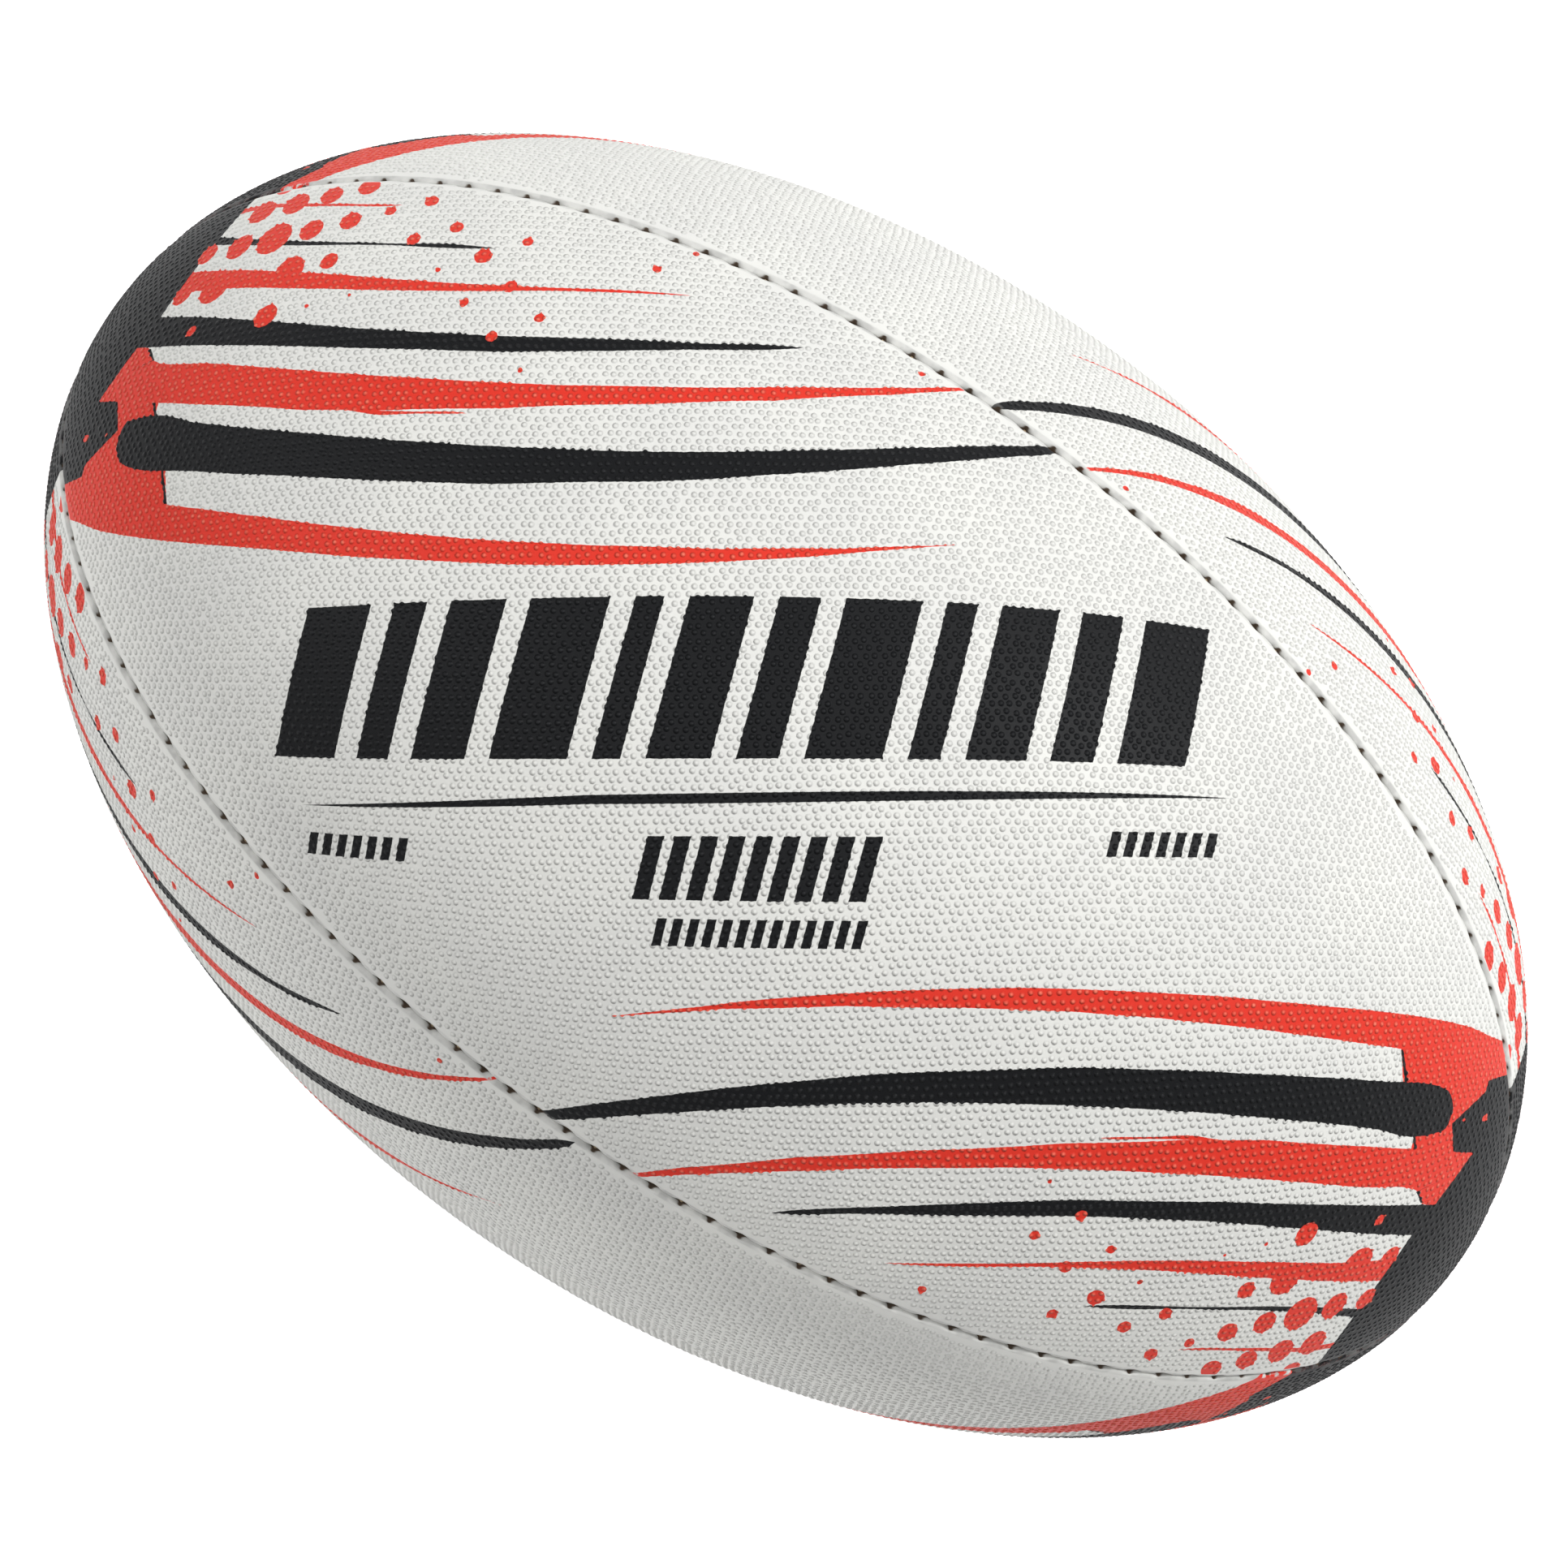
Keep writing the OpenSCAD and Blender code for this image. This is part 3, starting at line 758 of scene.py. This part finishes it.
class Shader:
    """A material with short calls for its nodes. A value is a number, a tuple or a socket."""

    def __init__(self, name):
        self.material = bpy.data.materials.new(name)
        self.material.use_nodes = True
        self.tree = self.material.node_tree
        self.tree.nodes.clear()
        self.shader = self.tree.nodes.new("ShaderNodeBsdfPrincipled")
        out = self.tree.nodes.new("ShaderNodeOutputMaterial")
        self.tree.links.new(self.shader.outputs[0], out.inputs[0])

    def put(self, socket, value):
        if isinstance(value, bpy.types.NodeSocket):
            self.tree.links.new(value, socket)
        else:
            socket.default_value = value

    def node(self, kind, inputs=(), out=0, **settings):
        """A new node's output. Sockets are named, or numbered where names repeat."""
        node = self.tree.nodes.new("ShaderNode" + kind)
        for key, value in settings.items():
            setattr(node, key, value)
        for key, value in dict(inputs).items():
            self.put(node.inputs[key], value)
        return node.outputs[out]

    def math(self, operation, a, b=0.0, c=0.0):
        return self.node("Math", {0: a, 1: b, 2: c}, operation=operation)

    def minus(self, a, b):
        return self.math("SUBTRACT", a, b)

    def times(self, a, b):
        return self.math("MULTIPLY", a, b)

    def lowest(self, first, *more):
        for value in more:
            first = self.math("MINIMUM", first, value)
        return first

    def highest(self, first, *more):
        for value in more:
            first = self.math("MAXIMUM", first, value)
        return first

    def vector(self, operation, a, b=(0, 0, 0), out=0):
        return self.node("VectorMath", {0: a, 1: b}, out, operation=operation)

    def scaled(self, vector, by):
        out = self.vector("SCALE", vector)
        self.put(out.node.inputs["Scale"], by)
        return out

    def place_mm(self):
        """Where a point lies on its object, in millimetres."""
        return self.scaled(self.node("TexCoord", out="Object"), 1 / MM)

    def attribute(self, name, out="Vector"):
        return self.node("Attribute", out=out, attribute_name=name)

    def parts(self, vector):
        node = self.tree.nodes.new("ShaderNodeSeparateXYZ")
        self.put(node.inputs[0], vector)
        return node.outputs[0], node.outputs[1], node.outputs[2]

    def mix(self, share, a, b):
        node = self.tree.nodes.new("ShaderNodeMix")
        node.data_type = "RGBA"
        self.put(node.inputs[0], share)
        self.put(node.inputs[6], a)
        self.put(node.inputs[7], b)
        return node.outputs[2]

    def smooth(self, value, low, high, to_low=0.0, to_high=1.0):
        inputs = {0: value, 1: low, 2: high, 3: to_low, 4: to_high}
        return self.node("MapRange", inputs, interpolation_type="SMOOTHSTEP")

    def noise(self, where, scale, detail=2.0, roughness=0.5):
        inputs = {"Vector": where, "Scale": scale, "Detail": detail, "Roughness": roughness}
        return self.node("TexNoise", inputs)

    def curve(self, value, points, span_in, span_out, kind="AUTO_CLAMPED"):
        """The line through points at value, both in millimetres of the print."""
        low, high = span_in
        bottom, top = span_out
        node = self.tree.nodes.new("ShaderNodeFloatCurve")
        share = self.math("DIVIDE", self.minus(value, low), high - low)
        self.put(node.inputs["Value"], share)
        curve = node.mapping.curves[0]
        xy = [((x - low) / (high - low), (y - bottom) / (top - bottom)) for x, y in points]
        curve.points[0].location = xy[0]
        curve.points[1].location = xy[-1]
        for p in xy[1:-1]:
            curve.points.new(*p)
        for p in curve.points:
            p.handle_type = kind
        node.mapping.extend = "HORIZONTAL"
        node.mapping.update()
        return self.math("MULTIPLY_ADD", node.outputs[0], top - bottom, bottom)

    def bump(self, height, distance, normal=None, strength=1.0):
        inputs = {"Height": height, "Distance": distance, "Strength": strength}
        if normal is not None:
            inputs["Normal"] = normal
        return self.node("Bump", inputs)

    def finish(self, colour, roughness, normal=None, **constants):
        self.put(self.shader.inputs["Base Color"], colour)
        self.put(self.shader.inputs["Roughness"], roughness)
        if normal is not None:
            self.put(self.shader.inputs["Normal"], normal)
        for name, value in constants.items():
            self.shader.inputs[name.replace("_", " ")].default_value = value
        return self.material


# Print strokes, as upper and lower edges from left to right. Past its point a stroke's
# upper edge is below its lower one, so that nothing is printed.
U_SPAN, V_SPAN, TIP_SPAN = (-150, 80), (20, 125), (-150, -90)
RED_HAIR = (
    ((-106, 107.2), (-102.5, 107), (-80, 101.7), (-66, 99.3), (-64, 99)),
    ((-106, 105.6), (-102.5, 105.5), (-80, 101.0), (-66, 99.2), (-64, 99.6)))
BLACK_HAIR = (
    ((-110, 101.2), (-90, 94.3), (-70, 90.4), (-47.5, 87.8), (-45, 87)),
    ((-110, 99), (-90, 93.1), (-70, 89.9), (-47.5, 87.7), (-45, 88)))
RED_TOP = (
    ((-116, 94.4), (-100, 90), (-80, 85.1), (-60, 81.3), (-40, 79.4), (-13, 79.1), (-10, 78)),
    ((-116, 89.4), (-100, 86), (-80, 81.9), (-60, 79.3), (-40, 78.6), (-13, 79), (-10, 80)))
BLACK_TOP = (
    ((-122, 87), (-110, 83), (-80, 74.9), (-60, 71.4), (-40, 69.6), (-15, 69.2), (5, 70.2), (8, 69)),
    ((-122, 80.4), (-110, 77), (-80, 70.7), (-60, 68.1), (-40, 66.8), (-15, 67.7), (5, 70), (8, 71)))
RED_MIDDLE_UP = (
    (-150, 92), (-127.5, 84), (-119.6, 80), (-116, 78.4), (-113.5, 75), (-100, 71.2),
    (-80, 66.4), (-60, 63), (-35, 60.7), (-20, 60.6), (0, 61.7), (20, 64.2),
    (32, 66.7), (42, 69), (48, 70))
RED_MIDDLE_LOW = (
    (-111.4, 50), (-111.2, 66.3), (-100, 63.5), (-80, 59.3), (-66, 57.7), (-45, 56.8),
    (-20, 57.4), (0, 59.1), (20, 62.7), (32, 65.9), (42, 68.9), (48, 73))
RED_SLIVER = (
    ((-74, 58), (-71, 58.8), (-66, 57.8), (-60, 57.1), (-51, 56.3), (-49, 55.6)),
    ((-74, 58.8), (-71, 58.2), (-66, 57), (-60, 56.7), (-51, 56.2), (-49, 56.4)))
BLACK_MIDDLE_UP = (
    (-119.4, 58), (-119, 61.9), (-117.2, 64.2), (-111, 63.9), (-100, 60.2),
    (-80, 55.5), (-60, 52.1), (-40, 50), (-20, 49.2), (0, 50), (20, 52.3),
    (40, 56), (48, 57.5), (51, 57))
BLACK_MIDDLE_LOW = (
    (-119.4, 61), (-119, 59), (-116.2, 55.4), (-100, 51.4), (-80, 47.9), (-60, 45.3),
    (-40, 44), (-25, 44), (0, 45.8), (20, 49), (40, 53.8), (48, 56.4), (51, 60))
GAP_ABOVE_RED = (
    (-106.9, 60), (-105.3, 46.2), (-90, 42.6), (-75, 39.4), (-60, 36.8), (-45, 34.9),
    (-30, 33.8), (-10, 33.1), (10, 33.7), (28, 35.5), (60, 33))
# Black lines where the gaps start, u for each v, and out of the way between them
GAP_ENDS = (
    (45.8, -150), (46.2, -105.2), (53, -106.9), (53.4, -150), (62, -150), (62.4, -110),
    (66.5, -111.25), (66.9, -150), (74.6, -150), (75, -113.75), (78.4, -116), (78.8, -150))
RED_LOW = (
    (-150, 50), (-130, 46.4), (-120, 43), (-80, 35.3), (-60, 32.6), (-28, 30.6), (0, 31.7),
    (14, 33.4), (28, 35.5), (60, 41))
# Right edge of the black band at the tip, u for each v
BAND = (
    (52, -150), (55, -137), (55.4, -128.5), (58.1, -127.75), (63.1, -119.4), (69.4, -121.25),
    (71.25, -127.5), (80, -119.6), (84.75, -115.6), (99.4, -106.9), (111, -100.6), (125, -94))
WHITE = linear(234, 234, 229)
# The worn inks are lighter: ink worn thin on the pimple tops, and a painted highlight there
RED, RED_WORN_AND_HIGHLIGHT = linear(228, 58, 44), linear(250, 132, 108)
BLACK, BLACK_WORN_AND_HIGHLIGHT = linear(24, 25, 27), linear(42, 43, 45)


def cover_material():
    s = Shader("pimpled_rubber")
    place_mm = s.place_mm()
    offset = s.attribute("pimple")
    distance = s.vector("LENGTH", offset, out="Value")
    on_dome = s.smooth(distance, DOME_RADIUS * 0.85, DOME_RADIUS * 1.05, 1.0, 0.0)
    top = s.smooth(distance, 0.05, DOME_RADIUS, 1.0, 0.0)

    # the print's coordinates, turned so that the half below the middle repeats the one above
    u, v, _ = s.parts(s.attribute("print"))
    sign = s.minus(s.times(s.math("GREATER_THAN", v, 0.0), 2.0), 1.0)
    u, v = s.times(u, sign), s.times(v, sign)
    ragged = s.times(s.minus(s.noise(place_mm, 1.3, 1.0), 0.45), 0.30)
    ragged = s.math("MULTIPLY_ADD", s.minus(top, 0.2), 0.24, ragged)

    def line(points, kind="AUTO_CLAMPED"):
        return s.curve(u, points, U_SPAN, V_SPAN, kind)

    def roughen(edge, half):
        """An edge moves in and out over the pimples, by less where the stroke is thin."""
        return s.math("MULTIPLY_ADD", ragged, s.smooth(half, 0.0, 0.9, 0.15, 1.0), edge)

    def stroke(upper, lower):
        upper, lower = line(upper), line(lower)
        edge = s.lowest(s.minus(upper, v), s.minus(v, lower))
        return roughen(edge, s.times(s.minus(upper, lower), 0.5))

    middle = s.times(s.math("ADD", line(BLACK_MIDDLE_UP), line(BLACK_MIDDLE_LOW)), 0.5)
    gap_above = s.lowest(s.minus(line(RED_MIDDLE_LOW, "VECTOR"), v), s.minus(v, middle))
    gap_below = s.lowest(s.minus(middle, v), s.minus(v, line(GAP_ABOVE_RED, "VECTOR")))
    gaps = s.highest(gap_above, gap_below)
    body = s.lowest(s.minus(line(RED_MIDDLE_UP), v), s.minus(v, line(RED_LOW)),
                    s.times(gaps, -1.0))
    body = s.math("MULTIPLY_ADD", ragged, 0.7, body)
    red = s.highest(stroke(*RED_HAIR), stroke(*RED_TOP), stroke(*RED_SLIVER), body)
    band = s.minus(s.curve(v, BAND, V_SPAN, TIP_SPAN, "VECTOR"), u)
    from_end = s.math("ABSOLUTE", s.minus(s.curve(v, GAP_ENDS, V_SPAN, TIP_SPAN, "VECTOR"), u))
    ends = s.minus(0.3, from_end)
    black = s.highest(s.math("ADD", s.highest(band, ends), ragged), stroke(*BLACK_HAIR), stroke(*BLACK_TOP),
                      stroke(BLACK_MIDDLE_UP, BLACK_MIDDLE_LOW))
    x, y, size = s.parts(s.attribute("dot"))
    spread = s.math("SQRT", s.math("ADD", s.times(x, x), s.times(y, y)))
    dot = roughen(s.times(s.minus(1.0, spread), size), size)
    past, height, half = s.parts(s.attribute("bar"))
    bar = s.lowest(s.times(past, -1.0), s.minus(half, s.math("ABSOLUTE", height)))
    bar = s.math("MULTIPLY_ADD", ragged, s.smooth(half, 0.0, 8.0, 0.2, 0.7), bar)

    # the print breaks up where the edge rolls into the seam
    edge = s.attribute("edge", out="Fac")
    broken = s.times(s.smooth(edge, 0.02, 0.16),
                    s.smooth(s.noise(place_mm, 0.55, 3.0, 0.6), 0.44, 0.56))

    def inked(cover, loss):
        kept = s.math("MULTIPLY_ADD", broken, -loss, 1.0)
        return s.times(s.smooth(cover, -0.04, 0.04), kept)

    # ink, thinner on the tops of the pimples and lighter there: partly wear, partly a painted highlight
    wear_and_highlight = s.times(top, s.smooth(s.noise(place_mm, 0.9, 2.0), 0.35, 0.75, 0.35, 1.0))
    red_ink = s.mix(wear_and_highlight, RED, RED_WORN_AND_HIGHLIGHT)
    black_ink = s.mix(wear_and_highlight, BLACK, BLACK_WORN_AND_HIGHLIGHT)
    mottle = s.smooth(s.noise(place_mm, 0.05, 3.0), 0.3, 0.7)
    rubber = s.mix(mottle, WHITE, linear(229, 229, 225))
    # painted shade: a darker ring round the foot of each dome
    painted_dome_shade = s.times(s.smooth(distance, DOME_RADIUS * 0.8, DOME_RADIUS),
                  s.smooth(distance, DOME_RADIUS, DOME_RADIUS * 1.2, 0.22, 0.0))
    rubber = s.mix(painted_dome_shade, rubber, linear(176, 177, 175))
    # painted shade, in blotches, on the edge as it rolls into the seam
    painted_shade_blotches = s.smooth(s.noise(place_mm, 0.35, 2.0), 0.4, 0.62, 0.45, 1.0)
    painted_edge_shade = s.times(s.smooth(edge, 0.0, 0.14, 0.0, 0.8), painted_shade_blotches)
    rubber = s.mix(painted_edge_shade, rubber, linear(184, 184, 181))
    colour = s.mix(inked(red, 1.0), rubber, red_ink)
    colour = s.mix(inked(black, 0.15), colour, black_ink)
    colour = s.mix(inked(dot, 1.0), colour, red_ink)
    colour = s.mix(inked(bar, 0.0), colour, black_ink)
    # dark brown deep in the seam, round the stitch holes and on the inner side: partly dirt and wax, partly
    # painted shade in the groove
    colour = s.mix(s.smooth(edge, 0.5, 0.85, 0.0, 0.96), colour, linear(86, 70, 56))

    # a dome leans the normal away from its middle
    lean = s.scaled(offset, s.times(on_dome, SLOPE * RELIEF / DOME_RADIUS**2))
    normal = s.vector("NORMALIZE", s.vector("ADD", s.node("NewGeometry", out="Normal"), lean))
    grain = s.noise(place_mm, 7.0, 3.0, 0.6)
    normal = s.bump(grain, 0.00002, normal, 0.6)
    roughness = s.math("MULTIPLY_ADD", s.noise(place_mm, 2.5, 2.0), 0.12, 0.46)
    return s.finish(colour, roughness, normal, Specular_IOR_Level=0.15)


WEAVE_PITCH = 0.9


def cloth_material():
    s = Shader("laminated_cloth")
    x, y, _ = s.parts(s.attribute("cut"))
    warp = s.math("SINE", s.times(x, 2 * math.pi / WEAVE_PITCH))
    weft = s.math("SINE", s.times(y, 2 * math.pi / WEAVE_PITCH))
    over = s.times(warp, weft)
    weave = s.highest(s.math("ABSOLUTE", warp), s.times(s.math("ABSOLUTE", weft), 0.9))
    place_mm = s.place_mm()
    slub = s.noise(place_mm, 0.4, 4.0, 0.6)
    tone = s.mix(s.smooth(slub, 0.3, 0.7), linear(222, 212, 186), linear(198, 184, 152))
    tone = s.mix(s.smooth(over, -0.4, 0.6, 0.0, 0.35), tone, linear(168, 150, 116))
    height = s.math("MULTIPLY_ADD", slub, 0.4, weave)
    roughness = s.math("MULTIPLY_ADD", slub, 0.15, 0.78)
    return s.finish(tone, roughness, s.bump(height, 0.00009), Sheen_Weight=0.25)


def grained_material(name, dark, light, scale, rough, depth, **constants):
    s = Shader(name)
    place_mm = s.place_mm()
    grain = s.noise(place_mm, scale, 5.0, 0.6)
    cloud = s.noise(place_mm, scale / 14, 3.0)
    tone = s.math("MULTIPLY_ADD", grain, 0.5, s.times(cloud, 0.5))
    colour = s.mix(s.smooth(tone, 0.35, 0.65), dark, light)
    roughness = s.math("MULTIPLY_ADD", cloud, 0.2, rough)
    return s.finish(colour, roughness, s.bump(grain, depth), **constants)


# ---- making the pieces ----
cover = cover_material()
cloth = cloth_material()
thread = grained_material("waxed_thread", linear(150, 122, 82), linear(206, 184, 142), 3.0, 0.45,
                          0.00006, Sheen_Weight=0.2)
butyl = grained_material("bladder_butyl", linear(24, 24, 26), linear(58, 58, 60), 1.1, 0.5, 0.00005)
valve = grained_material("valve_rubber", linear(20, 20, 21), linear(48, 48, 49), 2.4, 0.42, 0.00003)

# Each panel, ply and thread has a seed of its own
for index, side in enumerate(TURNS):
    rubber_panel("cover_" + side, side, 11 + index).data.materials.append(cover)
    for layer, word in enumerate(("outer", "middle", "inner")):
        ply(f"cloth_{word}_{side}", side, layer, 40 + 4 * layer + index).data.materials.append(cloth)
for index, seam in enumerate(SEAMS):
    seam_thread("thread_" + seam, seam, 80 + index).data.materials.append(thread)
bladder_piece().data.materials.append(butyl)
lining_patch = patch("patch_lining", "lining_valve_patch", LINING_PATCH_DEPTH,
                     LINING_PATCH, VALVE_HOLE)
lining_patch.data.materials.append(cloth)
bladder_patch = patch("patch_bladder", "bladder_valve_patch",
                      BLADDER_PATCH_DEPTH, BLADDER_PATCH, BLADDER_HOLE)
bladder_patch.data.materials.append(butyl)
lathe("valve_body", "valve_housing", HOUSING).data.materials.append(valve)
lathe("valve_core", "valve_plug", PLUG).data.materials.append(valve)

# ---- floor, light and camera ----
FLOOR_Z, FLOOR_SIZE, FLOOR_GLOW = -HALF_WAIST * MM, 12, 0.58
WORLD_GLOW = 0.2
bpy.ops.mesh.primitive_grid_add(x_subdivisions=4, y_subdivisions=4, size=FLOOR_SIZE,
                                location=(0, 0, FLOOR_Z))
floor = bpy.context.object
floor.name = "floor"
s = Shader("pale_floor")
paper = s.noise(s.node("TexCoord", out="Object"), 30.0, 3.0)
s.shader.inputs["Emission Color"].default_value = (1, 1, 1, 1)
s.shader.inputs["Emission Strength"].default_value = FLOOR_GLOW
floor.data.materials.append(s.finish(s.mix(paper, (0.9, 0.9, 0.9, 1), (0.93, 0.93, 0.93, 1)), 0.8))


def area_light(name, where, size, power):
    """A round lamp that faces the ball."""
    lamp = bpy.data.lights.new(name, "AREA")
    lamp.shape, lamp.size, lamp.energy = "DISK", size, power
    obj = add_object(name, lamp)
    obj.location = where
    obj.rotation_euler = Vector(where).to_track_quat("Z", "Y").to_euler()


area_light("key", (0.66, 1.02, 1.15), 0.28, 18.5)
area_light("overhead", (-0.15, -0.1, 1.9), 1.4, 8.5)
area_light("fill", (-1.3, -0.4, 1.0), 1.0, 7.8)

world = bpy.data.worlds.new("studio")
world.use_nodes = True
background = world.node_tree.nodes["Background"]
background.inputs["Color"].default_value = (1, 1, 1, 1)
background.inputs["Strength"].default_value = WORLD_GLOW
bpy.context.scene.world = world
bpy.context.scene.view_settings.view_transform = "Standard"

# Fitted to the outline of the ball in the photo
CAMERA_TURN, CAMERA_ROLL, CAMERA_PITCH = 35.559, -1.569, -1.406
CAMERA_DISTANCE, CAMERA_LENS = 0.7084, 92.39
to_camera = (Matrix.Rotation(math.radians(-CAMERA_TURN), 3, "Z")
             @ Matrix.Rotation(math.radians(CAMERA_PITCH), 3, "Y")
             @ Matrix.Rotation(math.radians(CAMERA_ROLL), 3, "X"))
pose = to_camera.transposed()
camera_data = bpy.data.cameras.new("camera")
camera_data.lens, camera_data.sensor_width = CAMERA_LENS, 36
camera_data.clip_start = 0.01
camera = add_object("camera", camera_data)
camera.matrix_world = Matrix.Translation(pose @ Vector((0, 0, CAMERA_DISTANCE))) @ pose.to_4x4()
bpy.context.scene.camera = camera
bpy.context.view_layer.update()
